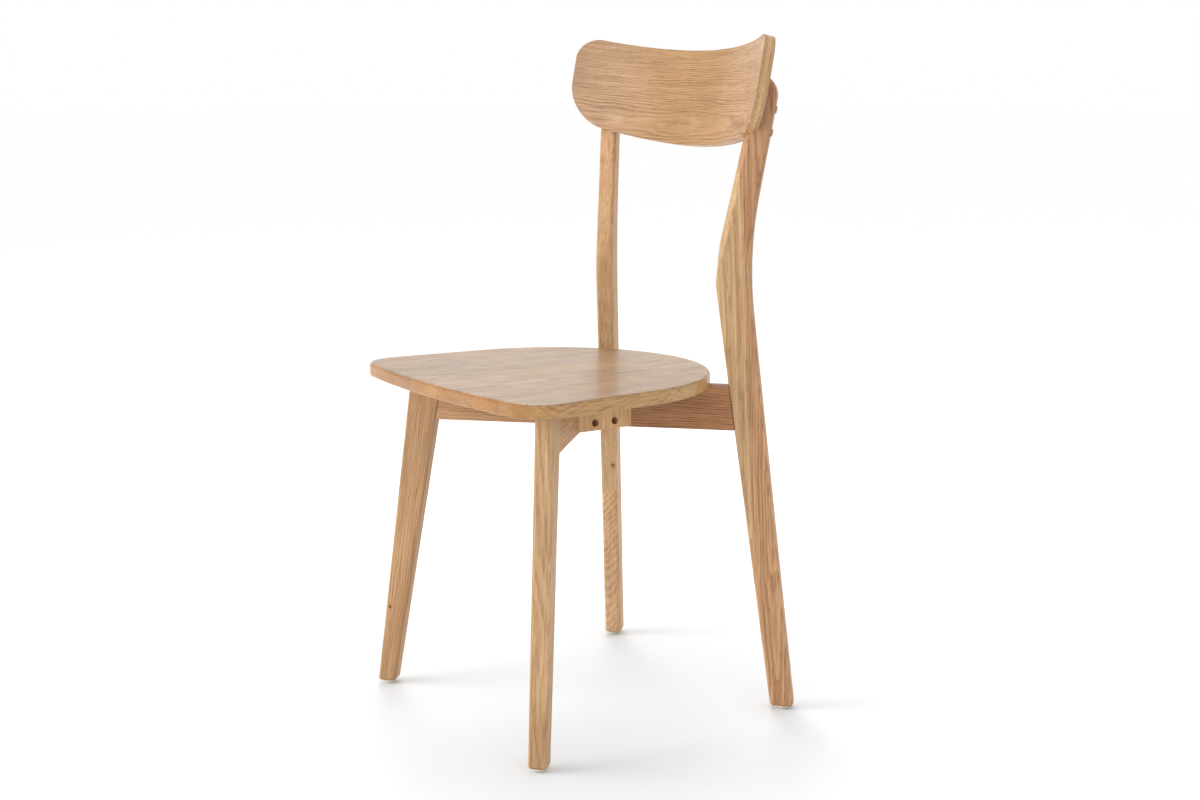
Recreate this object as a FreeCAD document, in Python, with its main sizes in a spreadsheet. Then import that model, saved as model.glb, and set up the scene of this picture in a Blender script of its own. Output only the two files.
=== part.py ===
"""Dining chair in light oak, built on a half-lapped diagonal cross frame.

Millimetres, +Z up, the sitter faces -Y. The origin is on the floor, in the middle of the chair's plan.
Every leg lies in one of two vertical diagonal planes that cross under the seat. A leg's profile is drawn
with X as the distance from that crossing and Z as the height above the floor.
"""
import FreeCAD, Part
import math
import os

import Sketcher

doc = FreeCAD.newDocument("dining_chair")

# ---------------------------------------------------------------- driving dimensions
DIMENSIONS = {
    # plan of the cross frame
    "cross_angle": 44.3,          # between a diagonal plane and the X axis, degrees
    "cross_y": 6.8,               # the crossing lies this far behind the middle of the chair's plan
    "leg_thickness": 24,
    "rail_thickness": 22,
    "rail_bottom": 377,
    "seat_bottom": 435,
    "foot_gap": 5,                # height of the glide under each foot
    "edge_radius": 4,
    "foot_chamfer": 2.5,
    # front legs: distance from the crossing at the foot and under the seat
    "front_foot_inner": 260.9,
    "front_foot_outer": 285.4,
    "front_top_inner": 186.7,
    "front_top_outer": 230.8,
    # rear posts
    "rear_foot_inner": 260.1,
    "rear_foot_outer": 290.7,
    "waist_inner": 180.1,         # where the inner edge turns, on the side that faces outward
    "waist_height": 566.8,
    "waist_radius": 40,
    "waist_height_back": 595.9,   # the same turn on the side that faces the back
    "waist_radius_back": 267,
    "waist_outer": 219.9,
    "waist_outer_height": 604.9,
    "waist_outer_radius": 525,
    "upper_lean": 12.0,           # lean of the upper inner edge, degrees
    "upper_outer_lean": 9.9,      # lean of the upper outer edge, degrees
    "post_shoulder": 770,         # the upper inner edge runs upright above this, inside the backrest's notch
    "post_top": 835.5,
    "post_top_radius": 28,
    "glue_line_foot": 242.6,      # glue line between a post's two boards, at floor level
    "glue_line_slope": 2.4,
    "front_board_low": 233,       # the front board's ends are blunt, where it is still a few mm thick
    "front_board_high": 716.5,
    "front_board_top_tilt": 48,       # its slope, degrees
    # tenons of the rails
    "tenon_thickness": 12,
    "tenon_depth": 20,
    "tenon_shoulder": 9,          # above and below each tenon
    # corner blocks in the left and right angles of the cross
    "block_face": 58,             # distance of the outer face from the crossing
    "block_back": 30,
    "block_relief": 1,            # the block stops short of the rail's bottom and of the seat
    "block_screw_spacing": 30.6,
    "block_screw_height": 10,     # above the block's bottom
    "counterbore_r": 5,
    "block_counterbore": 10,
    # seat
    "seat_thickness": 18,
    "seat_front": 229,            # front edge, ahead of the crossing
    "seat_front_radius": 1250,
    "seat_corner_radius": 48,
    "seat_side_flare": 4.5,       # degrees
    "seat_rear_radius": 207,
    "seat_rear_centre": 45,       # centre of the rear curve, ahead of the crossing
    "seat_top_round": 4,
    "seat_bottom_round": 2.5,
    "seat_joint_1": -158,         # glue lines between the staves, from the left
    "seat_joint_2": -101,
    "seat_joint_3": -29,
    "seat_joint_4": 24,
    "seat_joint_5": 93,
    "seat_joint_6": 155,
    "seat_screw_reach": 118,      # seat screws' distance from the crossing, along the rails
    "seat_counterbore": 32,
    # backrest: a bent laminate, concave towards the sitter
    "back_radius": 360,           # of its front face
    "back_tilt": 11,              # degrees
    "back_y": 191.9,              # middle of the front face, behind the crossing
    "back_z": 821.3,
    "back_half_width": 208,
    "back_top": 46.2,             # above the middle of the face, at the centre line
    "back_top_radius": 2050,
    "back_bottom": 81.5,
    "back_bottom_radius": 1080,
    "back_top_corner": 29,
    "back_bottom_corner": 62,
    "veneer": 1.2,
    "core_ply": 4.2,
    # backrest screws and their plugs
    "plug_height_low": 761,
    "plug_height_high": 790,
    "plug_shank_r": 4,
    "plug_head_r": 5,
    "plug_dome": 2.5,
    "plug_depth": 7,
    # wood screws
    "screw_r": 2.25,
    "screw_head_r": 4,
    "screw_head_height": 3,
    "block_screw_length": 36,
    "seat_screw_length": 38,
    "back_screw_length": 24,
    # glides
    "glide_r": 8.5,
    "glide_round": 1.5,
    "nail_r": 1.25,
    "nail_length": 16,
}

sheet = doc.addObject("Spreadsheet::Sheet", "Dimensions")
for row, (alias, value) in enumerate(DIMENSIONS.items(), start=1):
    sheet.set(f"A{row}", alias)
    sheet.set(f"B{row}", str(value))
    sheet.setAlias(f"B{row}", alias)
doc.recompute()


def dim(alias):
    """The sheet's value of one dimension."""
    return float(sheet.get(alias))


def formula(text):
    """An expression on the sheet's cells: each $name is a cell."""
    return text.replace("$", "Dimensions.")


def bind(thing, **sizes):
    """Bind properties of an object to formulas on the sheet."""
    for name, text in sizes.items():
        thing.setExpression(name, formula(text))


def place(thing, x=0.0, y=0.0, z=0.0, turns=()):
    """Put an object at a point given from the crossing of the frame, after turning it.

    turns is a sequence of (axis, degrees), the first one applied first.
    """
    rotation = FreeCAD.Rotation()
    for axis, degrees in turns:
        rotation = FreeCAD.Rotation(FreeCAD.Vector(*axis), degrees).multiply(rotation)
    thing.Placement = FreeCAD.Placement(FreeCAD.Vector(x, y + dim("cross_y"), z), rotation)
    return thing


X_AXIS = (1, 0, 0)
Y_AXIS = (0, 1, 0)
Z_AXIS = (0, 0, 1)
THETA = dim("cross_angle")

# ---------------------------------------------------------------- sketches and bodies


def new_body(name):
    return doc.addObject("PartDesign::Body", name)


def new_sketch(body, name, role, offset=0.0):
    """A sketch on one of the body's own origin planes, moved along its normal."""
    sketch = body.newObject("Sketcher::SketchObject", name)
    plane = next(item for item in body.Origin.OriginFeatures if item.Role == role)
    sketch.AttachmentSupport = [(plane, "")]
    sketch.MapMode = "FlatFace"
    sketch.AttachmentOffset = FreeCAD.Placement(FreeCAD.Vector(0, 0, offset), FreeCAD.Rotation())
    return sketch


def constrain(sketch, kind, *arguments, size=None):
    """Add a constraint; size is the formula of its value, and is evaluated here for a good start."""
    if size is None:
        sketch.addConstraint(Sketcher.Constraint(kind, *arguments))
        return
    value = evaluate(size)
    if kind == "Angle":
        value = math.radians(value)
    index = sketch.addConstraint(Sketcher.Constraint(kind, *arguments, value))
    sketch.renameConstraint(index, f"size_{index}")
    sketch.setExpression(f"Constraints.size_{index}", formula(size))


def evaluate(text):
    """The number that a formula on the sheet stands for."""
    return float(sheet.evalExpression(formula(text)))


def outline(sketch, corners):
    """A closed outline. Each corner is (x formula, y formula) or (x formula, y formula, radius formula)."""
    points = [FreeCAD.Vector(evaluate(c[0]), evaluate(c[1]), 0) for c in corners]
    radii = [evaluate(c[2]) if len(c) > 2 else 0.0 for c in corners]
    count = len(corners)
    starts, ends, centres = [], [], []
    for i, point in enumerate(points):
        back = (points[i - 1] - point).normalize()
        ahead = (points[(i + 1) % count] - point).normalize()
        half = back.getAngle(ahead) / 2
        reach = radii[i] / math.tan(half) if radii[i] else 0.0
        ends.append(point + back * reach)
        starts.append(point + ahead * reach)
        middle = (back + ahead).normalize()
        centres.append(point + middle * (radii[i] / math.sin(half)) if radii[i] else None)
    lines = [
        sketch.addGeometry(Part.LineSegment(starts[i], ends[(i + 1) % count])) for i in range(count)
    ]
    for i, corner in enumerate(corners):
        before, after = lines[i - 1], lines[i]
        if not radii[i]:
            constrain(sketch, "Coincident", before, 2, after, 1)
            constrain(sketch, "DistanceX", -1, 1, after, 1, size=corner[0])
            constrain(sketch, "DistanceY", -1, 1, after, 1, size=corner[1])
            continue
        clockwise = (ends[i] - centres[i]).cross(starts[i] - centres[i]).z < 0
        first, last = (starts[i], ends[i]) if clockwise else (ends[i], starts[i])
        circle = Part.Circle(centres[i], FreeCAD.Vector(0, 0, 1), radii[i])
        arc = sketch.addGeometry(Part.ArcOfCircle(circle, circle.parameter(first), circle.parameter(last)))
        constrain(sketch, "Tangent", before, 2, arc, 2 if clockwise else 1)
        constrain(sketch, "Tangent", after, 1, arc, 1 if clockwise else 2)
        constrain(sketch, "Radius", arc, size=corner[2])
        corner_point = sketch.addGeometry(Part.Point(points[i]), True)
        constrain(sketch, "PointOnObject", corner_point, 1, before)
        constrain(sketch, "PointOnObject", corner_point, 1, after)
        constrain(sketch, "DistanceX", -1, 1, corner_point, 1, size=corner[0])
        constrain(sketch, "DistanceY", -1, 1, corner_point, 1, size=corner[1])


def feature(body, kind, name, **settings):
    item = body.newObject(f"PartDesign::{kind}", name)
    for key, value in settings.items():
        setattr(item, key, value)
    return item


def pad(body, name, sketch, length):
    """A pad the same distance each way from its sketch."""
    item = feature(body, "Pad", name, Profile=sketch, SideType="Symmetric")
    bind(item, Length=length)
    doc.recompute()
    return item


def pocket(body, name, sketch, length):
    """A pocket the same distance each way from its sketch; it has to remove material."""
    before = body.Shape.Volume
    item = feature(body, "Pocket", name, Profile=sketch, SideType="Symmetric")
    bind(item, Length=length)
    doc.recompute()
    if body.Shape.Volume >= before - 1:
        raise RuntimeError(f"{name} cuts nothing")
    return item


def round_edges(body, name, radius, chosen, kind="Fillet"):
    """Fillet or chamfer the edges of the body's last feature that chosen(edge) accepts."""
    base = body.Tip
    names = [f"Edge{i}" for i, edge in enumerate(base.Shape.Edges, start=1) if chosen(edge)]
    item = feature(body, kind, name, Base=(base, names))
    bind(item, **{"Radius" if kind == "Fillet" else "Size": radius})
    doc.recompute()
    return item


def cylinder(name, radius, height, **position):
    item = doc.addObject("Part::Cylinder", name)
    bind(item, Radius=radius, Height=height)
    return place(item, **position)


def fuse(name, pieces):
    item = doc.addObject("Part::MultiFuse", name)
    item.Shapes = pieces
    return item


def cut(name, base, tools):
    item = doc.addObject("Part::Cut", name)
    item.Base = base
    item.Tool = tools[0] if len(tools) == 1 else fuse(f"{name}_tools", tools)
    return item


def common(name, first, second):
    item = doc.addObject("Part::Common", name)
    item.Base = first
    item.Tool = second
    return item


def group(name, pieces):
    """One node that holds identical pieces as separate solids."""
    item = doc.addObject("Part::Compound", name)
    item.Links = pieces
    return item


NODES = []


def node(thing, label):
    """Name a sub-part: its label is the name of its file."""
    thing.Label = label
    NODES.append(thing)
    return thing


# ---------------------------------------------------------------- the four diagonal arms

# name, direction of the arm in plan in degrees, and +1 where a turn to the arm's right is towards the front
ARMS = {
    "front_left": (180 + THETA, -1),
    "front_right": (-THETA, 1),
    "rear_left": (180 - THETA, -1),
    "rear_right": (THETA, 1),
}


def arm_point(arm, reach, z, aside=0.0):
    """A point on an arm's diagonal plane, from the crossing; aside moves it to the arm's left."""
    direction = math.radians(ARMS[arm][0])
    x = reach * math.cos(direction) - aside * math.sin(direction)
    y = reach * math.sin(direction) + aside * math.cos(direction)
    return {"x": x, "y": y, "z": z}


FRONT_INNER = "($front_foot_inner + ($front_top_inner - $front_foot_inner) * ({z} - $foot_gap)" \
    " / ($seat_bottom - $foot_gap))"
REAR_INNER = "($rear_foot_inner + ($waist_inner - $rear_foot_inner) * ({z} - $foot_gap)" \
    " / ($waist_height - $foot_gap))"
TENON_LOW = "($rail_bottom + $tenon_shoulder)"
TENON_HIGH = "($seat_bottom - $tenon_shoulder)"


def mortise(body, inner):
    """The pocket for a rail's tenon, open on the leg's inner edge."""
    sketch = new_sketch(body, f"{body.Name}_mortise_sketch", "XZ_Plane")
    low, high = inner.format(z=TENON_LOW), inner.format(z=TENON_HIGH)
    outline(sketch, [
        (f"{low} - 10", TENON_LOW),
        (f"{low} + $tenon_depth", TENON_LOW),
        (f"{high} + $tenon_depth", TENON_HIGH),
        (f"{high} - 10", TENON_HIGH),
    ])
    pocket(body, f"{body.Name}_mortise", sketch, "$tenon_thickness")


def is_long(edge):
    return edge.Length > 60 and abs(edge.BoundBox.ZLength) > 10


def is_foot(edge):
    return edge.BoundBox.ZMax < dim("foot_gap") + 0.01


def nail_hole(arm, foot_centre):
    return cylinder(f"{arm}_nail_hole", "$nail_r", "$nail_length", **arm_point(arm, foot_centre, dim("foot_gap")))


FRONT_FOOT = (dim("front_foot_inner") + dim("front_foot_outer")) / 2
REAR_FOOT = (dim("rear_foot_inner") + dim("rear_foot_outer")) / 2


def front_leg(arm):
    """A straight tapered leg, splayed outwards, with its flat faces along the diagonal."""
    body = new_body(f"{arm}_leg_body")
    sketch = new_sketch(body, f"{arm}_leg_profile", "XZ_Plane")
    outline(sketch, [
        ("$front_foot_inner", "$foot_gap"),
        ("$front_foot_outer", "$foot_gap"),
        ("$front_top_outer", "$seat_bottom"),
        ("$front_top_inner", "$seat_bottom"),
    ])
    pad(body, f"{arm}_leg_pad", sketch, "$leg_thickness")
    round_edges(body, f"{arm}_leg_round", "$edge_radius", is_long)
    round_edges(body, f"{arm}_leg_chamfer", "$foot_chamfer", is_foot, kind="Chamfer")
    mortise(body, FRONT_INNER)
    place(body, turns=[(Z_AXIS, ARMS[arm][0])])
    leg = cut(f"{arm}_leg_drilled", body, [nail_hole(arm, FRONT_FOOT)])
    return node(leg, f"{arm}_leg")


for arm in ("front_left", "front_right"):
    front_leg(arm)

# ---------------------------------------------------------------- backrest

LAMINATE = "(2 * $veneer + 3 * $core_ply)"
BACK_TURN = [(X_AXIS, -dim("back_tilt"))]


def back_point(x, depth, height):
    """A point in the backrest's own frame: depth behind its front face, height along its lean."""
    tilt = math.radians(dim("back_tilt"))
    y = dim("back_y") + depth * math.cos(tilt) + height * math.sin(tilt)
    return {"x": x, "y": y, "z": dim("back_z") - depth * math.sin(tilt) + height * math.cos(tilt)}


def mirrored_outline(sketch, chain):
    """A closed outline of arcs and upright lines, symmetrical about the sketch's Y axis.

    chain lists the geometry anticlockwise from the lowest arc's right end. Joints are tangent.
    """
    indices = [sketch.addGeometry(geometry) for geometry, _ in chain]
    for i, (_, flip) in enumerate(chain):
        following = (i + 1) % len(chain)
        end = 1 if flip else 2
        start = 2 if chain[following][1] else 1
        constrain(sketch, "Tangent", indices[i], end, indices[following], start)
    return indices


def arc(centre, radius, first, last):
    """An anticlockwise arc from one angle to another, in degrees."""
    circle = Part.Circle(FreeCAD.Vector(centre[0], centre[1], 0), FreeCAD.Vector(0, 0, 1), radius)
    return Part.ArcOfCircle(circle, math.radians(first), math.radians(last))


def line(first, last):
    return Part.LineSegment(FreeCAD.Vector(first[0], first[1], 0), FreeCAD.Vector(last[0], last[1], 0))


def backrest_sketch(body):
    """Front view of the backrest: hollow top edge, bellied bottom edge and round ends."""
    sketch = new_sketch(body, "backrest_outline", "XZ_Plane")
    side = dim("back_half_width")
    top_r, bottom_r = dim("back_top_radius"), dim("back_bottom_radius")
    high_r, low_r = dim("back_top_corner"), dim("back_bottom_corner")
    top_centre = dim("back_top") + top_r
    bottom_centre = -dim("back_bottom") + bottom_r
    # centres of the right-hand corner arcs, tangent to the side line and to the long arcs
    high_x, low_x = side - high_r, side - low_r
    high_y = top_centre - math.sqrt((top_r + high_r) ** 2 - high_x ** 2)
    low_y = bottom_centre - math.sqrt((bottom_r - low_r) ** 2 - low_x ** 2)
    high_angle = math.degrees(math.atan2(top_centre - high_y, -high_x))
    low_angle = math.degrees(math.atan2(low_y - bottom_centre, low_x))
    chain = [
        (arc((0, bottom_centre), bottom_r, -180 - low_angle, low_angle), False),
        (arc((low_x, low_y), low_r, low_angle, 0), False),
        (line((side, low_y), (side, high_y)), False),
        (arc((high_x, high_y), high_r, 0, high_angle), False),
        (arc((0, top_centre), top_r, 360 - high_angle, 180 + high_angle), True),
        (arc((-high_x, high_y), high_r, 180 - high_angle, 180), False),
        (line((-side, high_y), (-side, low_y)), False),
        (arc((-low_x, low_y), low_r, 180, 180 - low_angle), False),
    ]
    bottom, low_right, right, high_right, top, high_left, left, low_left = mirrored_outline(sketch, chain)
    for long_arc, radius, centre in (
        (bottom, "$back_bottom_radius", "$back_bottom_radius - $back_bottom"),
        (top, "$back_top_radius", "$back_top_radius + $back_top"),
    ):
        constrain(sketch, "PointOnObject", long_arc, 3, -2)
        constrain(sketch, "Radius", long_arc, size=radius)
        constrain(sketch, "DistanceY", -1, 1, long_arc, 3, size=centre)
    for one, other, radius in (
        (high_right, high_left, "$back_top_corner"),
        (low_right, low_left, "$back_bottom_corner"),
    ):
        constrain(sketch, "Radius", one, size=radius)
        constrain(sketch, "Equal", one, other)
    for side_line, sign in ((right, ""), (left, "-")):
        constrain(sketch, "Vertical", side_line)
        constrain(sketch, "DistanceX", -1, 1, side_line, 1, size=f"{sign}$back_half_width")
    return sketch


backrest_body = new_body("backrest_prism")
backrest_pad = pad(backrest_body, "backrest_prism_pad", backrest_sketch(backrest_body), "200")
place(backrest_body, **back_point(0, 0, 0), turns=BACK_TURN)


def back_cylinder(name, depth):
    """A cylinder about the backrest's axis of bending, whose wall lies depth behind its front face."""
    position = back_point(0, -dim("back_radius"), -150)
    return cylinder(name, f"$back_radius + {depth}", "300", turns=BACK_TURN, **position)


backrest_space = common("backrest_space", back_cylinder("backrest_rear_wall", LAMINATE), backrest_body)

# ---------------------------------------------------------------- rear posts


def post_corners(waist_inner, waist_height, waist_radius):
    """Profile of a rear post, for one of its two flat sides."""
    shoulder = f"{waist_inner} + ($post_shoulder - {waist_height}) * tan($upper_lean)"
    return [
        ("$rear_foot_inner", "$foot_gap"),
        ("$rear_foot_outer", "$foot_gap"),
        ("$waist_outer", "$waist_outer_height", "$waist_outer_radius"),
        ("$waist_outer + ($post_top - $waist_outer_height) * tan($upper_outer_lean)", "$post_top",
         "$post_top_radius"),
        (shoulder, "$post_top"),
        (shoulder, "$post_shoulder"),
        (waist_inner, waist_height, waist_radius),
    ]


def plug_axis(arm, height):
    """Where a backrest screw enters the outer edge of a post, and the turns that lay +Z along it."""
    lean = dim("upper_outer_lean")
    rise = height - dim("waist_outer_height")
    reach = dim("waist_outer") + rise * math.tan(math.radians(lean))
    turns = [(Y_AXIS, lean - 90), (Z_AXIS, ARMS[arm][0])]
    return arm_point(arm, reach, height), turns


def along(position, turns, distance):
    """Move a position along the direction that turned +Z points in."""
    rotation = FreeCAD.Rotation()
    for axis, degrees in turns:
        rotation = FreeCAD.Rotation(FreeCAD.Vector(*axis), degrees).multiply(rotation)
    step = rotation.multVec(FreeCAD.Vector(0, 0, distance))
    return {"x": position["x"] + step.x, "y": position["y"] + step.y, "z": position["z"] + step.z}


def rear_post(arm):
    """A bandsawn post of two glued boards: splayed below, leaning back above its waist.

    Above the waist its inner edge twists to face the backrest, so the two sides differ.
    """
    body = new_body(f"{arm}_post_body")
    forward = ARMS[arm][1] * dim("leg_thickness") / 2
    outward_side = new_sketch(body, f"{arm}_outward_side", "XZ_Plane", forward)
    outline(outward_side, post_corners("$waist_inner", "$waist_height", "$waist_radius"))
    backward_side = new_sketch(body, f"{arm}_backward_side", "XZ_Plane", -forward)
    waist_back = REAR_INNER.format(z="$waist_height_back")
    outline(backward_side, post_corners(waist_back, "$waist_height_back", "$waist_radius_back"))
    for sketch, sign in ((outward_side, ARMS[arm][1]), (backward_side, -ARMS[arm][1])):
        bind(sketch, **{"AttachmentOffset.Base.z": f"{sign} * $leg_thickness / 2"})
    doc.recompute()
    first, last = sorted((outward_side, backward_side), key=lambda item: item.AttachmentOffset.Base.z)
    feature(body, "AdditiveLoft", f"{arm}_post_loft", Profile=first, Sections=[last], Ruled=True)
    doc.recompute()
    round_edges(body, f"{arm}_post_round", "$edge_radius", is_long)
    round_edges(body, f"{arm}_post_chamfer", "$foot_chamfer", is_foot, kind="Chamfer")
    mortise(body, REAR_INNER)
    place(body, turns=[(Z_AXIS, ARMS[arm][0])])
    drills = [nail_hole(arm, REAR_FOOT), backrest_space]
    for height in (dim("plug_height_low"), dim("plug_height_high")):
        position, turns = plug_axis(arm, height)
        name = f"{arm}_drill_{height:.0f}"
        start = along(position, turns, -20)
        drill = cylinder(name, "$plug_shank_r", "20 + $plug_depth + $screw_head_height", turns=turns, **start)
        shank = cylinder(f"{name}_shank", "$screw_r", "60", turns=turns, **position)
        drills += [drill, shank]
    drilled = cut(f"{arm}_post_drilled", body, drills)
    # the front board lies inside the glue plane and between two blunt ends
    inside = doc.addObject("Part::Box", f"{arm}_inside_glue_plane")
    bind(inside, Length="400", Width="400", Height="1200")
    turns = [(Z_AXIS, 180), (Y_AXIS, -dim("glue_line_slope")), (Z_AXIS, ARMS[arm][0])]
    place(inside, turns=turns, **arm_point(arm, dim("glue_line_foot"), 0, 200))
    below = doc.addObject("Part::Box", f"{arm}_below_front_board")
    bind(below, Length="400", Width="400", Height="$front_board_low")
    place(below, turns=[(Z_AXIS, ARMS[arm][0])], **arm_point(arm, 0, 0, -200))
    above = doc.addObject("Part::Box", f"{arm}_above_front_board")
    bind(above, Length="400", Width="400", Height="300")
    tilt = ARMS[arm][1] * dim("front_board_top_tilt")
    aside = -200 * math.cos(math.radians(tilt))
    start = dim("front_board_high") - 200 * math.sin(math.radians(tilt))
    place(above, turns=[(X_AXIS, tilt), (Z_AXIS, ARMS[arm][0])], **arm_point(arm, 0, start, aside))
    front = cut(f"{arm}_front_board", common(f"{arm}_inside", drilled, inside), [below, above])
    node(front, f"{arm}_post_front_board")
    node(cut(f"{arm}_back_board", drilled, [front]), f"{arm}_post_back_board")


for arm in ("rear_left", "rear_right"):
    rear_post(arm)


# ---------------------------------------------------------------- cross rails and corner blocks

BLOCK_SCREWS = [
    (side, x_side * dim("block_screw_spacing") / 2)
    for side in ("left", "right")
    for x_side in (-1, 1)
]
SCREW_Z = dim("rail_bottom") + dim("block_relief") + dim("block_screw_height")


def block_sign(side):
    return 1 if side == "right" else -1


def block_turns(side):
    """Turns that lay +Z along a block's screw, pointing into the frame."""
    return [(Y_AXIS, -90 * block_sign(side))]


def block_drill(side, y, index):
    """Counterbore and shank hole of one block screw."""
    turns = block_turns(side)
    sign = block_sign(side)
    mouth = cylinder(
        f"{side}_block_counterbore_{index}", "$counterbore_r", "$block_counterbore + $screw_head_height + 5",
        x=sign * (dim("block_face") + 5), y=y, z=SCREW_Z, turns=turns,
    )
    shank = cylinder(
        f"{side}_block_hole_{index}", "$screw_r", "$block_counterbore + $block_screw_length",
        x=sign * dim("block_face"), y=y, z=SCREW_Z, turns=turns,
    )
    return [mouth, shank]


BLOCK_DRILLS = {"left": [], "right": []}
for index, (side, y) in enumerate(BLOCK_SCREWS):
    BLOCK_DRILLS[side] += block_drill(side, y, index)


def seat_drill(arm):
    """Counterbore in the rail's bottom edge, and the screw's hole up into the seat."""
    spot = arm_point(arm, dim("seat_screw_reach"), dim("rail_bottom") - 5)
    mouth = cylinder(f"{arm}_seat_counterbore", "$counterbore_r",
                     "$seat_counterbore + $screw_head_height + 5", **spot)
    start = arm_point(arm, dim("seat_screw_reach"), dim("rail_bottom"))
    shank = cylinder(f"{arm}_seat_hole", "$screw_r", "$seat_counterbore + $seat_screw_length", **start)
    return [mouth, shank]


SEAT_DRILLS = {arm: seat_drill(arm) for arm in ARMS}


def cross_rail(rear_arm, front_arm, notch_from):
    """A rail along one diagonal, from the front leg to the rear post, tenoned into both.

    notch_from is the height at which its half-lap notch starts, half the rail's height tall.
    """
    name = f"{rear_arm}_rail"
    body = new_body(f"{name}_body")
    board = new_sketch(body, f"{name}_profile", "XZ_Plane")
    outline(board, [
        ("-" + FRONT_INNER.format(z="$rail_bottom"), "$rail_bottom"),
        (REAR_INNER.format(z="$rail_bottom"), "$rail_bottom"),
        (REAR_INNER.format(z="$seat_bottom"), "$seat_bottom"),
        ("-" + FRONT_INNER.format(z="$seat_bottom"), "$seat_bottom"),
    ])
    pad(body, f"{name}_pad", board, "$rail_thickness")
    tenons = new_sketch(body, f"{name}_tenon_profile", "XZ_Plane")
    outline(tenons, [
        (f"-({FRONT_INNER.format(z=TENON_LOW)} + $tenon_depth)", TENON_LOW),
        (f"{REAR_INNER.format(z=TENON_LOW)} + $tenon_depth", TENON_LOW),
        (f"{REAR_INNER.format(z=TENON_HIGH)} + $tenon_depth", TENON_HIGH),
        (f"-({FRONT_INNER.format(z=TENON_HIGH)} + $tenon_depth)", TENON_HIGH),
    ])
    pad(body, f"{name}_tenon_pad", tenons, "$tenon_thickness")
    place(body, turns=[(Z_AXIS, ARMS[rear_arm][0])])
    notch = doc.addObject("Part::Box", f"{name}_notch")
    bind(notch, Length="60", Width="$rail_thickness", Height="($seat_bottom - $rail_bottom) / 2 + 1")
    other = THETA if rear_arm == "rear_left" else 180 - THETA
    angle = math.radians(other)
    half = dim("rail_thickness") / 2
    place(
        notch, turns=[(Z_AXIS, other)], z=notch_from,
        x=-30 * math.cos(angle) + half * math.sin(angle),
        y=-30 * math.sin(angle) - half * math.cos(angle),
    )
    drills = BLOCK_DRILLS["left"] + BLOCK_DRILLS["right"] + SEAT_DRILLS[rear_arm] + SEAT_DRILLS[front_arm]
    return node(cut(f"{name}_cut", body, [notch] + drills), f"cross_rail_{rear_arm}")


LAP = (dim("rail_bottom") + dim("seat_bottom")) / 2
cross_rail("rear_right", "front_left", LAP)
cross_rail("rear_left", "front_right", dim("rail_bottom") - 1)

RAIL_GAP = "$rail_thickness / 2 / cos($cross_angle)"


def corner_block(side):
    """A block glued into the angle between the two rails, its ends mitred against them."""
    body = new_body(f"{side}_block_body")
    sketch = new_sketch(body, f"{side}_block_plan", "XY_Plane")
    sign = "" if side == "right" else "-"
    face = f"($block_face * tan($cross_angle) - {RAIL_GAP})"
    back = f"($block_back * tan($cross_angle) - {RAIL_GAP})"
    corners = [
        (f"{sign}$block_back", f"-{back}"),
        (f"{sign}$block_face", f"-{face}"),
        (f"{sign}$block_face", face),
        (f"{sign}$block_back", back),
    ]
    outline(sketch, corners if side == "right" else corners[::-1])
    pad(body, f"{side}_block_pad", sketch, "$seat_bottom - $rail_bottom - 2 * $block_relief")
    place(body, z=LAP)
    return node(cut(f"{side}_block_drilled", body, BLOCK_DRILLS[side]), f"corner_block_{side}")


for side in ("left", "right"):
    corner_block(side)

# ---------------------------------------------------------------- seat


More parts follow.
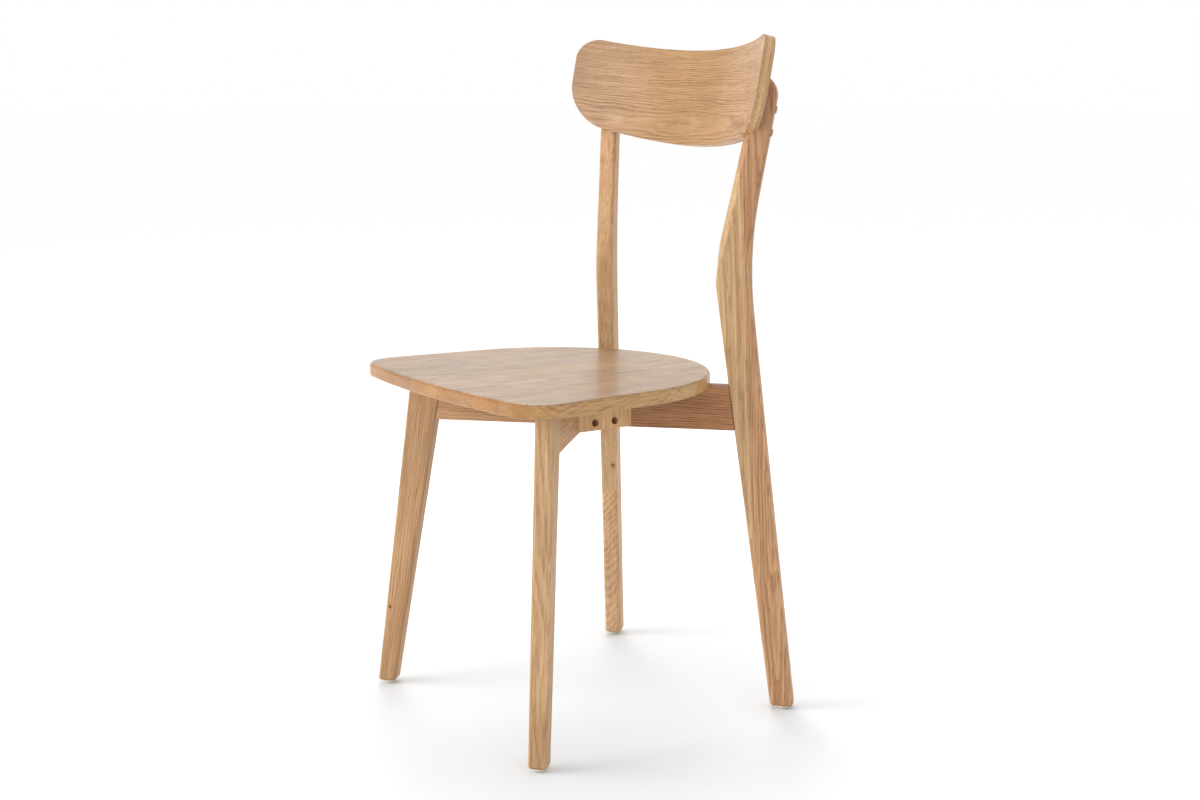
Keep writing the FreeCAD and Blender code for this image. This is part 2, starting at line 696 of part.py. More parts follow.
def seat_blank():
    """The glued-up seat board: a shield with a gently curved front, flared sides and a round rear."""
    body = new_body("seat_blank")
    sketch = new_sketch(body, "seat_plan", "XY_Plane")
    flare = math.radians(dim("seat_side_flare"))
    rear_r, corner_r, front_r = dim("seat_rear_radius"), dim("seat_corner_radius"), dim("seat_front_radius")
    rear_y = -dim("seat_rear_centre")
    front_y = front_r - dim("seat_front")
    # the corner's centre lies on the line inside the flared side, and on the circle inside the front curve
    inset = rear_r - corner_r
    base = FreeCAD.Vector(inset * math.cos(flare), rear_y - inset * math.sin(flare), 0)
    along_side = FreeCAD.Vector(math.sin(flare), -math.cos(flare), 0)
    offset = base - FreeCAD.Vector(0, front_y, 0)
    half_b = offset.dot(along_side)
    rest = offset.dot(offset) - (front_r - corner_r) ** 2
    corner = base + along_side * (-half_b + math.sqrt(half_b ** 2 - rest))
    front_angle = math.degrees(math.atan2(corner.y - front_y, corner.x))
    side_angle = -dim("seat_side_flare")
    normal = FreeCAD.Vector(math.cos(flare), -math.sin(flare), 0)
    rear_end = FreeCAD.Vector(0, rear_y, 0) + normal * rear_r
    corner_end = corner + normal * corner_r
    chain = [
        (arc((0, front_y), front_r, -180 - front_angle, front_angle), False),
        (arc((corner.x, corner.y), corner_r, front_angle, side_angle), False),
        (line(corner_end, rear_end), False),
        (arc((0, rear_y), rear_r, side_angle, 180 - side_angle), False),
        (line((-rear_end.x, rear_end.y), (-corner_end.x, corner_end.y)), False),
        (arc((-corner.x, corner.y), corner_r, 180 - side_angle, -180 - front_angle), False),
    ]
    front, right_corner, right, rear, left, left_corner = mirrored_outline(sketch, chain)
    for curve, radius, centre in (
        (front, "$seat_front_radius", "$seat_front_radius - $seat_front"),
        (rear, "$seat_rear_radius", "-$seat_rear_centre"),
    ):
        constrain(sketch, "PointOnObject", curve, 3, -2)
        constrain(sketch, "Radius", curve, size=radius)
        constrain(sketch, "DistanceY", -1, 1, curve, 3, size=centre)
    constrain(sketch, "Radius", right_corner, size="$seat_corner_radius")
    constrain(sketch, "Equal", right_corner, left_corner)
    constrain(sketch, "Angle", right, size="90 + $seat_side_flare")
    constrain(sketch, "Angle", left, size="-90 - $seat_side_flare")
    pad(body, "seat_pad", sketch, "$seat_thickness")
    half = dim("seat_thickness") / 2
    round_edges(body, "seat_top_rounding", "$seat_top_round", lambda e: e.BoundBox.ZMin > half - 0.01)
    round_edges(body, "seat_bottom_rounding", "$seat_bottom_round", lambda e: e.BoundBox.ZMax < 0.01 - half)
    place(body, z=dim("seat_bottom") + half)
    return cut("seat_drilled", body, [hole for arm in ARMS for hole in SEAT_DRILLS[arm]])


SEAT = seat_blank()
JOINTS = ["-300"] + [f"$seat_joint_{i}" for i in range(1, 7)] + ["300"]
for i in range(7):
    strip = doc.addObject("Part::Box", f"stave_space_{i + 1}")
    bind(strip, Length=f"{JOINTS[i + 1]} - ({JOINTS[i]})", Width="500", Height="60")
    place(strip, x=evaluate(JOINTS[i]), y=-260, z=dim("seat_bottom") - 10)
    node(common(f"stave_{i + 1}", SEAT, strip), f"seat_stave_{i + 1}")

# ---------------------------------------------------------------- backrest plies

PLIES = [
    ("backrest_front_veneer", "0", "$veneer"),
    ("backrest_core_front", "$veneer", "$veneer + $core_ply"),
    ("backrest_core_middle", "$veneer + $core_ply", "$veneer + 2 * $core_ply"),
    ("backrest_core_back", "$veneer + 2 * $core_ply", "$veneer + 3 * $core_ply"),
    ("backrest_back_veneer", "$veneer + 3 * $core_ply", LAMINATE),
]
BACK_SCREWS = [
    plug_axis(arm, height)
    for arm in ("rear_left", "rear_right")
    for height in (dim("plug_height_low"), dim("plug_height_high"))
]
HEAD_DEPTH = dim("plug_depth")


def pilot_hole(index):
    """The hole of one backrest screw."""
    position, turns = BACK_SCREWS[index]
    start = along(position, turns, HEAD_DEPTH)
    return cylinder(f"pilot_{index}", "$screw_r", "$back_screw_length", turns=turns, **start)


PILOTS = [pilot_hole(index) for index in range(len(BACK_SCREWS))]

for label, front, rear in PLIES:
    ring = cut(f"{label}_ring", back_cylinder(f"{label}_outer", rear), [back_cylinder(f"{label}_inner", front)])
    node(cut(f"{label}_drilled", common(f"{label}_ply", ring, backrest_body), PILOTS), label)

# ---------------------------------------------------------------- screws, plugs, glides


def screw(name, length, position, turns=()):
    """A wood screw: a cylindrical head and a plain shank as long as the screw, pointing along +Z."""
    head = cylinder(f"{name}_head", "$screw_head_r", "$screw_head_height", turns=turns, **position)
    shank = cylinder(f"{name}_shank", "$screw_r", length, turns=turns, **position)
    return fuse(name, [head, shank])


node(group("block_screw_group", [
    screw(
        f"block_screw_{index}", "$block_screw_length", turns=block_turns(side),
        position={"x": block_sign(side) * (dim("block_face") - dim("block_counterbore")), "y": y, "z": SCREW_Z},
    )
    for index, (side, y) in enumerate(BLOCK_SCREWS)
]), "corner_block_screws")

node(group("seat_screw_group", [
    screw(
        f"{arm}_seat_screw", "$seat_screw_length",
        arm_point(arm, dim("seat_screw_reach"), dim("rail_bottom") + dim("seat_counterbore")),
    )
    for arm in ARMS
]), "seat_screws")

node(group("back_screw_group", [
    screw(f"back_screw_{index}", "$back_screw_length", along(position, turns, HEAD_DEPTH), turns)
    for index, (position, turns) in enumerate(BACK_SCREWS)
]), "backrest_screws")


def plug(index):
    """An oak button plug: a shank in the counterbore and a domed head on the post's edge."""
    position, turns = BACK_SCREWS[index]
    body = new_body(f"plug_{index}_body")
    sketch = new_sketch(body, f"plug_{index}_profile", "XZ_Plane")
    outline(sketch, [
        ("0", "$plug_depth"),
        ("0", "-$plug_dome"),
        ("$plug_head_r", "-$plug_dome", "$plug_dome - 0.6"),
        ("$plug_head_r", "0"),
        ("$plug_shank_r", "0"),
        ("$plug_shank_r", "$plug_depth"),
    ])
    axis = next(item for item in body.Origin.OriginFeatures if item.Role == "Z_Axis")
    feature(body, "Revolution", f"plug_{index}_turned", Profile=sketch, ReferenceAxis=(axis, [""]), Angle=360)
    return place(body, turns=turns, **position)


node(group("plug_group", [plug(index) for index in range(len(BACK_SCREWS))]), "post_button_plugs")


def glide(arm, foot_centre):
    """A hard plastic disc nailed under a foot, with its lower rim rounded."""
    body = new_body(f"{arm}_glide_body")
    sketch = new_sketch(body, f"{arm}_glide_profile", "XZ_Plane")
    outline(sketch, [
        ("0", "0"),
        ("$glide_r", "0", "$glide_round"),
        ("$glide_r", "$foot_gap"),
        ("0", "$foot_gap"),
    ])
    axis = next(item for item in body.Origin.OriginFeatures if item.Role == "Z_Axis")
    feature(body, "Revolution", f"{arm}_glide_turned", Profile=sketch, ReferenceAxis=(axis, [""]), Angle=360)
    place(body, **arm_point(arm, foot_centre, 0))
    hole = cylinder(f"{arm}_glide_hole", "$nail_r", "$foot_gap", **arm_point(arm, foot_centre, dim("foot_gap") / 2))
    return node(cut(f"{arm}_glide_drilled", body, [hole]), f"{arm}_glide")


FEET = {arm: FRONT_FOOT if arm.startswith("front") else REAR_FOOT for arm in ARMS}
for arm, foot_centre in FEET.items():
    glide(arm, foot_centre)

node(group("nail_group", [
    cylinder(
        f"{arm}_nail", "$nail_r", "$nail_length + $foot_gap / 2",
        **arm_point(arm, foot_centre, dim("foot_gap") / 2),
    )
    for arm, foot_centre in FEET.items()
]), "glide_nails")

# ---------------------------------------------------------------- checks and files

doc.recompute()

for thing in doc.Objects:
    if "Invalid" in thing.State or "Error" in thing.State:
        raise RuntimeError(f"{thing.Name} failed: {thing.State}")
for thing in NODES:
    if thing.Shape.isNull() or not thing.Shape.isValid():
        raise RuntimeError(f"{thing.Label} has no valid shape")

os.makedirs("parts", exist_ok=True)
for thing in NODES:
    thing.Shape.exportStep(f"parts/{thing.Label}.step")

whole = Part.makeCompound([thing.Shape for thing in NODES])
box = whole.optimalBoundingBox(False)
print(f"{len(NODES)} nodes, {whole.Volume / 1e6:.2f} litres of material")
print(f"x {box.XMin:.1f} to {box.XMax:.1f}, y {box.YMin:.1f} to {box.YMax:.1f}, z {box.ZMin:.1f} to {box.ZMax:.1f}")
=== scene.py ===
"""Looks of a dining chair: oak frame, staved seat, bent plywood backrest. Metres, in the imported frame."""

import math
import random

import bmesh
import bpy
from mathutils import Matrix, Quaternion, Vector


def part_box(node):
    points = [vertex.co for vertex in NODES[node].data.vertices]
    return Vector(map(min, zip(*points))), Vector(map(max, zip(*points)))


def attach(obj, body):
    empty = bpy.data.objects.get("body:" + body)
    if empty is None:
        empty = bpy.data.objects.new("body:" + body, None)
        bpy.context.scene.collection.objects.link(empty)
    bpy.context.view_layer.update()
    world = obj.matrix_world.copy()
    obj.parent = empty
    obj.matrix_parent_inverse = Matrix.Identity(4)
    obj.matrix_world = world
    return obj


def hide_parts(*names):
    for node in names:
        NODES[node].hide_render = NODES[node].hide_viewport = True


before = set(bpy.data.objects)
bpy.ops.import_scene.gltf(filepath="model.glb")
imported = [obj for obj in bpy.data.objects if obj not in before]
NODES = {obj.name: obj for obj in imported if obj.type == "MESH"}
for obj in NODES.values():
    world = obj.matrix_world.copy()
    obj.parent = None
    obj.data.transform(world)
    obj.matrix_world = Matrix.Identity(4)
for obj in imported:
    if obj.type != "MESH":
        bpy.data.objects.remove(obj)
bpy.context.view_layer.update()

ARMS = ("front_left", "front_right", "rear_left", "rear_right")
UP = Vector((0, 0, 1))


def centre_of(node):
    low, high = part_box(node)
    return (low + high) / 2


FOOT = {arm: centre_of(f"{arm}_glide") for arm in ARMS}


def outward(arm):
    """Plan direction of an arm of the crossed frame, from the crossing to its foot."""
    opposite = {
        "front_left": "rear_right", "rear_right": "front_left",
        "front_right": "rear_left", "rear_left": "front_right",
    }[arm]
    way = FOOT[arm] - FOOT[opposite]
    return Vector((way.x, way.y, 0)).normalized()


def crossing():
    """Where the crossed frame's two diagonals meet, at floor level."""
    near_foot, far_foot = FOOT["front_left"], FOOT["rear_right"]
    middle = near_foot.lerp(far_foot, -near_foot.x / (far_foot.x - near_foot.x))
    return Vector((0, middle.y, 0))


def sideways(arm):
    """Horizontal direction square to an arm's plane."""
    return UP.cross(outward(arm))


def arm_point(arm, reach, height, aside=0.0):
    """A point in an arm's own terms: outwards from the crossing, up, and to its side."""
    return crossing() + outward(arm) * reach + sideways(arm) * aside + UP * height


def leaning(arm, lean):
    """Direction up an arm's leg: inwards by lean from the vertical."""
    return UP * math.cos(lean) - outward(arm) * math.sin(lean)


# ---------------------------------------------------------------- shader helpers


class Tree:
    """A material's node tree, built by short calls. Inputs may be values or other nodes' outputs."""

    def __init__(self, name):
        self.material = bpy.data.materials.new(name)
        self.material.use_nodes = True
        self.nodes = self.material.node_tree.nodes
        self.links = self.material.node_tree.links
        self.nodes.clear()

    def feed(self, socket, value):
        if isinstance(value, bpy.types.NodeSocket):
            self.links.new(value, socket)
        elif hasattr(value, "__len__") and len(socket.default_value) == 4 and len(value) == 3:
            socket.default_value = (*value, 1)
        else:
            socket.default_value = value

    def add(self, kind, inputs=None, **settings):
        node = self.nodes.new(kind)
        for key, value in settings.items():
            setattr(node, key, value)
        for key, value in (inputs or {}).items():
            self.feed(node.inputs[key], value)
        return node

    def math(self, operation, *values, clamp=False):
        node = self.add("ShaderNodeMath", operation=operation, use_clamp=clamp)
        for i, value in enumerate(values):
            self.feed(node.inputs[i], value)
        return node.outputs[0]

    def times(self, one, other):
        return self.math("MULTIPLY", one, other)

    def plus(self, one, other, clamp=False):
        return self.math("ADD", one, other, clamp=clamp)

    def vector(self, operation, *values):
        node = self.add("ShaderNodeVectorMath", operation=operation)
        for i, value in enumerate(values):
            self.feed(node.inputs[i], value)
        return node.outputs["Value"] if operation in ("DOT_PRODUCT", "LENGTH") else node.outputs[0]

    def position(self):
        return self.add("ShaderNodeTexCoord").outputs["Object"]

    def normal(self):
        return self.add("ShaderNodeNewGeometry").outputs["Normal"]

    def combine(self, x, y, z):
        return self.add("ShaderNodeCombineXYZ", {"X": x, "Y": y, "Z": z}).outputs[0]

    def separate(self, vector):
        return self.add("ShaderNodeSeparateXYZ", {"Vector": vector}).outputs

    def noise(self, vector, scale=1.0, detail=2.0, roughness=0.5):
        node = self.add("ShaderNodeTexNoise", {
            "Vector": vector, "Scale": scale, "Detail": detail, "Roughness": roughness,
        }, noise_dimensions="3D")
        return node.outputs[0]

    def streaks(self, place, across, along, detail=2.0, roughness=0.55):
        """Noise drawn out along z: `across` and `along` are its frequencies per metre."""
        return self.noise(self.vector("MULTIPLY", place, (across, across, along)), 1.0, detail, roughness)

    def smooth(self, value, start, end, low=0.0, high=1.0):
        """Eases from low to high while value goes from start to end."""
        return self.add("ShaderNodeMapRange", {
            "Value": value, "From Min": start, "From Max": end, "To Min": low, "To Max": high,
        }, interpolation_type="SMOOTHSTEP").outputs[0]

    def mix(self, factor, one, other, blend="MIX"):
        node = self.add("ShaderNodeMix", data_type="RGBA", blend_type=blend)
        factor_socket, colour_a, colour_b = node.inputs[0], node.inputs[6], node.inputs[7]
        self.feed(factor_socket, factor)
        self.feed(colour_a, one)
        self.feed(colour_b, other)
        return node.outputs[2]

    def surface(self, colour, roughness, height=None, bump=0.0, depth=0.0002, **constants):
        shader = self.add("ShaderNodeBsdfPrincipled", {"Base Color": colour, "Roughness": roughness})
        for key, value in constants.items():
            self.feed(shader.inputs[key.replace("_", " ")], value)
        if height is not None:
            relief = self.add("ShaderNodeBump", {"Strength": bump, "Distance": depth, "Height": height})
            self.links.new(relief.outputs[0], shader.inputs["Normal"])
        out = self.add("ShaderNodeOutputMaterial")
        self.links.new(shader.outputs[0], out.inputs["Surface"])
        return self.material


def dress(node, material):
    """Gives a CAD node its material, on every slot it has."""
    mesh = NODES[node].data
    if not mesh.materials:
        mesh.materials.append(material)
    for i in range(len(mesh.materials)):
        mesh.materials[i] = material


# ---------------------------------------------------------------- oak

STRAW = (0.545, 0.345, 0.172)     # dense pale wood between the rings
HONEY = (0.375, 0.208, 0.090)     # the darker, open wood of each ring
UMBER = (0.115, 0.050, 0.020)     # pores
RUSSET = (0.360, 0.175, 0.068)    # warm patches where the lacquer has ambered
SEAM = (0.100, 0.048, 0.022)      # glue lines
END_TINT = (0.70, 0.55, 0.28)     # end grain against face grain
EDGE_PAINTED_LIGHT = (1.26, 1.17, 0.94)    # painted light: the seat's edges made lighter and warmer against its top

# How often a feature repeats per metre: across the grain and along it, then noise detail and roughness.
FIBRE = (330.0, 9.0, 3.0, 0.65)
FLECK = (560.0, 26.0)
PORE = (1500.0, 70.0)

# The same for slow changes, in the board's three axes.
WAVE = (24.0, 24.0, 10.0)
CLOUD = (26.0, 26.0, 7.0)
WANDER = (16.0, 16.0, 4.5)
RIPPLE = 85.0
YEARS = 110.0                     # how fast good and lean years follow each other, per metre of radius

FLECK_DARKNESS, PORE_DARKNESS = 0.62, 0.75
END_STRENGTH = 0.85
PORE_DEPTH = 0.00022


def basis(grain, ring):
    """Unit vectors (across, ring, grain): ring is squared to the grain direction."""
    along = Vector(grain).normalized()
    towards = Vector(ring)
    towards = (towards - along * towards.dot(along)).normalized()
    return towards.cross(along), towards, along


def board_space(tree, grain, ring, shift):
    """Object position in a board's own axes: x across, y towards the bark, z along the grain."""
    position = tree.vector("ADD", tree.position(), shift)
    return tree.combine(*[tree.vector("DOT_PRODUCT", position, tuple(axis)) for axis in basis(grain, ring)])


def growth_rings(tree, place, pith, ring_width, figure, taper):
    """How far into the open wood of its ring each point is, 0 to 1, round a pith below the board."""
    x, y, z = tree.separate(place)
    slow = tree.vector("MULTIPLY", place, WANDER)
    wander = tree.math("SUBTRACT", tree.noise(slow), 0.5)
    sway = tree.math("SUBTRACT", tree.noise(tree.vector("ADD", slow, (7.3, 1.9, 4.2))), 0.5)
    ripple = tree.math("SUBTRACT", tree.noise(place, RIPPLE, 1.0), 0.5)
    side = tree.plus(x, tree.times(sway, 0.06 * figure))
    depth = tree.plus(tree.plus(y, pith), tree.times(z, taper))
    depth = tree.plus(depth, tree.times(wander, 0.055 * figure))
    depth = tree.plus(depth, tree.times(ripple, 0.0045 * figure))
    radius = tree.vector("LENGTH", tree.combine(side, depth, 0.0))
    ring = tree.math("FRACT", tree.math("DIVIDE", radius, ring_width))
    open_wood = tree.times(tree.smooth(ring, 0.0, 0.10), tree.smooth(ring, 0.14, 0.85, 1.0, 0.0))
    year = tree.noise(tree.combine(tree.times(radius, YEARS), 0.0, 0.0), 1.0, 1.0)
    return tree.times(open_wood, tree.smooth(year, 0.32, 0.66, 0.3, 1.0))


def oak_colour(tree, place, pith=0.09, ring_width=0.0031, figure=0.5, taper=0.05,
               rings=0.6, pores=0.6, tint=1.0, warm=0.0, rosy=0.0):
    """Colour of oak, how open its pores are, and its relief, from a position in the board's axes.

    pith: distance of the tree's middle below the board; taper: how fast the rings run out of its face;
    figure: how much they wander; rings and pores: their contrast; tint, warm and rosy: the whole colour.
    """
    wave = tree.math("SUBTRACT", tree.noise(tree.vector("MULTIPLY", place, WAVE), 1.0, 1.0), 0.5)
    wave = tree.times(wave, 0.006 * figure)
    place = tree.vector("ADD", place, tree.combine(wave, wave, 0.0))
    open_wood = growth_rings(tree, place, pith, ring_width, figure, taper)
    fibre = tree.streaks(place, *FIBRE)
    fleck = tree.smooth(tree.streaks(place, *FLECK), 0.50, 0.67)
    fleck = tree.times(fleck, tree.smooth(open_wood, 0.0, 0.5, 0.35, 1.0))
    pore = tree.smooth(tree.streaks(place, *PORE), 0.54, 0.68)
    pore = tree.times(pore, tree.smooth(open_wood, 0.0, 0.6, 0.3, 1.0))
    cloud = tree.noise(tree.vector("MULTIPLY", place, CLOUD))

    fibrous = tree.smooth(fibre, 0.3, 0.72, 0.0, 0.75)
    depth = tree.plus(tree.times(open_wood, rings), fibrous, clamp=True)
    colour = tree.mix(depth, STRAW, HONEY)
    colour = tree.mix(tree.smooth(cloud, 0.52, 0.80, 0.0, 0.30), colour, RUSSET)
    colour = tree.mix(tree.times(fleck, FLECK_DARKNESS * pores), colour, UMBER)
    colour = tree.mix(tree.times(pore, PORE_DARKNESS * pores), colour, UMBER)
    shade = tree.smooth(cloud, 0.25, 0.75, 1.07 * tint, 0.93 * tint)
    colour = tree.mix(1.0, colour, tree.combine(
        tree.times(shade, 1 + 0.4 * warm), tree.times(shade, 1 - rosy), tree.times(shade, 1 - warm),
    ), "MULTIPLY")
    open_pores = tree.plus(tree.times(fleck, 0.5), pore, clamp=True)
    height = tree.math("SUBTRACT", tree.times(fibre, 0.3), open_pores)
    return colour, open_pores, height


def lacquered(tree, colour, open_pores, height,
              gloss=0.56, coat=0.05, coat_roughness=0.30, bump=0.4):
    """Satin lacquer over wood: the pores stay duller and slightly sunk."""
    uneven = tree.noise(tree.position(), 34.0, 2.0)
    roughness = tree.smooth(uneven, 0.3, 0.7, gloss - 0.04, gloss + 0.06)
    roughness = tree.plus(roughness, tree.times(open_pores, 0.18))
    return tree.surface(
        colour, roughness, height, bump=bump, depth=PORE_DEPTH,
        Coat_Weight=coat, Coat_Roughness=coat_roughness, Specular_IOR_Level=0.3,
    )


def end_grain(tree, colour, grain, strength):
    """Warms and darkens the faces that cut across the grain, which drink more lacquer."""
    facing = tree.vector("DOT_PRODUCT", tree.normal(), tuple(grain.normalized()))
    amount = tree.smooth(tree.math("ABSOLUTE", facing), 0.55, 0.95, 0.0, strength)
    return tree.mix(amount, colour, END_TINT, "MULTIPLY")


def glue_lines(tree, colour, places, width=0.0004):
    """Darkens a board next to the upright planes x = place, where it is glued to its neighbour."""
    x = tree.separate(tree.position())[0]
    for place in places:
        away = tree.math("ABSOLUTE", tree.math("SUBTRACT", x, place))
        colour = tree.mix(tree.smooth(away, 0.4 * width, 1.6 * width, 0.65, 0.0), colour, SEAM)
    return colour


def paint_light_along(tree, colour, along, reach, low, high):
    """Paints light and shade along a board: shifts its colour from one end to the other, over twice the
    reach.
    """
    return tree.mix(1.0, colour, tree.mix(tree.smooth(along, -reach, reach), low, high), "MULTIPLY")


def paint_lit_edges(tree, colour):
    """Paints light on the upright faces of a level board: lighter and warmer than its top."""
    facing = tree.separate(tree.normal())[2]
    amount = tree.smooth(tree.math("ABSOLUTE", facing), 0.3, 0.85, 1.0, 0.0)
    return tree.mix(amount, colour, EDGE_PAINTED_LIGHT, "MULTIPLY")


def knot(tree, colour, axis, point, radius):
    """A small dark knot that runs through the board along an axis, a little longer than it is wide."""
    away = tree.vector("SUBTRACT", tree.position(), tuple(point))
    across = axis.normalized().cross(UP)
    sidewards = tree.vector("DOT_PRODUCT", away, tuple(across))
    upwards = tree.times(tree.vector("DOT_PRODUCT", away, tuple(UP)), 0.8)
    distance = tree.vector("LENGTH", tree.combine(sidewards, upwards, 0.0))
    colour = tree.mix(tree.smooth(distance, radius, 2.4 * radius, 0.55, 0.0), colour, RUSSET)
    return tree.mix(tree.smooth(distance, 0.5 * radius, 1.1 * radius, 0.85, 0.0), colour, UMBER)


def oak(name, grain, ring, shift, joints=(), finish=None, knots=(), painted_light=None, **look):
    """A lacquered board's material. The growth rings widen towards ring, square to the grain."""
    tree = Tree(name)
    place = board_space(tree, grain, ring, shift)
    colour, open_pores, height = oak_colour(tree, place, **look)
    # painted light and shade along the board's grain
    if painted_light:
        colour = paint_light_along(tree, colour, tree.separate(place)[2], *painted_light)
    colour = end_grain(tree, colour, Vector(grain), END_STRENGTH)
    for axis, point, radius in knots:
        colour = knot(tree, colour, axis, point, radius)
    if joints:
        # painted light on the seat's upright faces
        colour = paint_lit_edges(tree, glue_lines(tree, colour, joints))
    return lacquered(tree, colour, open_pores, height, **(finish or {}))


draw = random.Random(41)


def near(point, spread=0.01):
    """A shift that puts a board's own origin near a point, so that no two boards share their grain."""
    return tuple(-c + draw.uniform(-spread, spread) for c in point)


# ---------------------------------------------------------------- legs, posts, rails and blocks

FRONT_LEAN = math.radians(8.5)     # centre line of a front leg from the vertical
GLUE_LEAN = math.radians(2.4)      # glue line of a rear post from the vertical

KNOTS = {                          # direction, a point on it, and radius
    "front_left_leg": [
        (sideways("front_left"), arm_point("front_left", 0.266, 0.112), 0.0022),
    ],
    "rear_left_post_front_board": [
        (outward("rear_left"), arm_point("rear_left", 0.0, 0.272, -0.006), 0.0026),
    ],
}

# Every painted light and shade below is half its length, then the colour's change at the low or front end and
# at the other: low ends painted lighter, upper and rear ends darker.
LEG_TINT = {"front_left": 0.88, "front_right": 1.10}
# Painted light on the front legs, lighter towards their feet.
LEG_PAINTED_LIGHT = {
    "front_left": (0.22, (1.17, 1.15, 1.11), (1.04, 1.02, 1.02)),
    "front_right": (0.22, (1.03, 1.06, 1.08), (0.97, 1.02, 1.05)),
}

for arm in ("front_left", "front_right"):
    dress(f"{arm}_leg", oak(
        f"oak_{arm}_leg", leaning(arm, FRONT_LEAN), outward(arm) + 0.35 * sideways(arm),
        near(centre_of(f"{arm}_leg")), knots=KNOTS.get(f"{arm}_leg", ()),
        pith=0.10, ring_width=0.0030, figure=0.25, taper=0.012, rings=0.55, pores=0.45,
        tint=LEG_TINT[arm], warm=-0.04, rosy=0.02, painted_light=LEG_PAINTED_LIGHT[arm],
    ))

BACK_BOARD_RINGS = {               # the left post's back board is sawn so that arcs show on its inner edge
    "rear_left": lambda arm: -1 * outward(arm) + 0.3 * sideways(arm),
    "rear_right": lambda arm: sideways(arm) - 0.15 * outward(arm),
}
BACK_BOARD_LOOK = {
    "rear_left": {
        "pith": 0.012, "ring_width": 0.0042, "figure": 0.6, "taper": 0.24, "rings": 0.6, "pores": 0.5,
    },
    "rear_right": {
        "pith": 0.035, "ring_width": 0.0038, "figure": 0.4, "taper": 0.05, "rings": 0.8, "pores": 0.6,
    },
}
# Painted light and shade along each post's back board: lighter low down, darker at the top.
BACK_BOARD_PAINTED_LIGHT = {
    "rear_left": (0.55, (1.20, 1.32, 1.45), (0.96, 0.94, 0.98)),
    "rear_right": (0.55, (1.14, 1.14, 1.18), (0.84, 0.77, 0.82)),
}
POST_TINT = {"rear_left": 1.08, "rear_right": 1.02}
# Painted light and shade along each post's front board: lighter low down, darker at the top.
POST_PAINTED_LIGHT = {
    "rear_left": (0.30, (1.06, 1.17, 1.28), (0.92, 0.91, 0.98)),
    "rear_right": (0.30, (1.08, 1.13, 1.24), (1.02, 1.07, 1.16)),
}
# Painted light and shade along each rail: lighter at the crossing, darker at its outer end under the seat.
RAIL_PAINTED_LIGHT = {
    "rear_left": (0.16, (1.26, 1.25, 1.10), (0.95, 0.92, 0.92)),
    "rear_right": (0.16, (1.24, 1.32, 1.48), (0.90, 0.80, 0.77)),
}

for arm in ("rear_left", "rear_right"):
    dress(f"{arm}_post_front_board", oak(
        f"oak_{arm}_front_board", leaning(arm, GLUE_LEAN), sideways(arm) + 0.2 * outward(arm),
        near(centre_of(f"{arm}_post_front_board")), knots=KNOTS.get(f"{arm}_post_front_board", ()),
        pith=0.16, ring_width=0.0024, figure=0.06, taper=0.002, rings=0.55, pores=0.5,
        tint=POST_TINT[arm], painted_light=POST_PAINTED_LIGHT[arm],
    ))
    dress(f"{arm}_post_back_board", oak(
        f"oak_{arm}_back_board", leaning(arm, GLUE_LEAN), BACK_BOARD_RINGS[arm](arm),
        near(arm_point(arm, 0.240, 0.70), 0.004), tint=0.90 * POST_TINT[arm], warm=0.03, rosy=0.06,
        painted_light=BACK_BOARD_PAINTED_LIGHT[arm], **BACK_BOARD_LOOK[arm],
    ))
    dress(f"cross_rail_{arm}", oak(
        f"oak_{arm}_rail", outward(arm), UP + 0.5 * sideways(arm), near(centre_of(f"cross_rail_{arm}")),
        pith=0.07, ring_width=0.0036, figure=0.3, taper=0.02, rings=0.8, pores=0.7,
        tint=0.84, warm=0.10, rosy=0.07, painted_light=RAIL_PAINTED_LIGHT[arm],
    ))

for side in ("left", "right"):
    dress(f"corner_block_{side}", oak(
        f"oak_block_{side}", (0, 0, 1), (1, 0.3, 0), near(centre_of(f"corner_block_{side}")),
        pith=0.12, ring_width=0.003, figure=0.15, taper=0.02, rings=0.4, pores=0.5,
        tint=1.38, warm=-0.05,
    ))

# ---------------------------------------------------------------- seat

STAVES = [f"seat_stave_{i}" for i in range(1, 8)]
JOINTS = [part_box(stave)[1].x for stave in STAVES[:-1]]
JOINT_TOLERANCE = 0.001
SEAT_FINISH = {"gloss": 0.40, "coat": 0.42, "coat_roughness": 0.22, "bump": 0.08}


def stave(name):
    """Each stave is another board: the rings' direction, width, figure and colour are drawn anew."""
    low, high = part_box(name)
    joints = [place for place in JOINTS
              if min(abs(place - low.x), abs(place - high.x)) < JOINT_TOLERANCE]
    return oak(
        f"oak_{name}", (0, 1, 0), (draw.uniform(-0.8, 0.8), 0, 1), near(centre_of(name), 0.03),
        joints=joints, finish=SEAT_FINISH,
        pith=draw.uniform(0.05, 0.12), ring_width=draw.uniform(0.0030, 0.0046),
        figure=draw.uniform(0.2, 0.45), taper=draw.uniform(-0.05, 0.05),
        tint=draw.uniform(0.66, 0.80), warm=draw.uniform(-0.02, 0.10), rings=0.5, pores=0.45,
    )


for name in STAVES:
    dress(name, stave(name))

# ---------------------------------------------------------------- backrest

BACK_TILT = math.radians(11)
BACK_RADIUS = 0.360
FACE_MIDDLE = Vector((0, 0.1987, 0.8213))      # middle of the front face
BACK_AXIS = Vector((0, math.sin(BACK_TILT), math.cos(BACK_TILT)))
BACK_DEPTH = Vector((0, math.cos(BACK_TILT), -math.sin(BACK_TILT)))
BACK_SIDE = Vector((1, 0, 0))
AXIS_POINT = FACE_MIDDLE - BACK_DEPTH * BACK_RADIUS    # on the axis of the bend

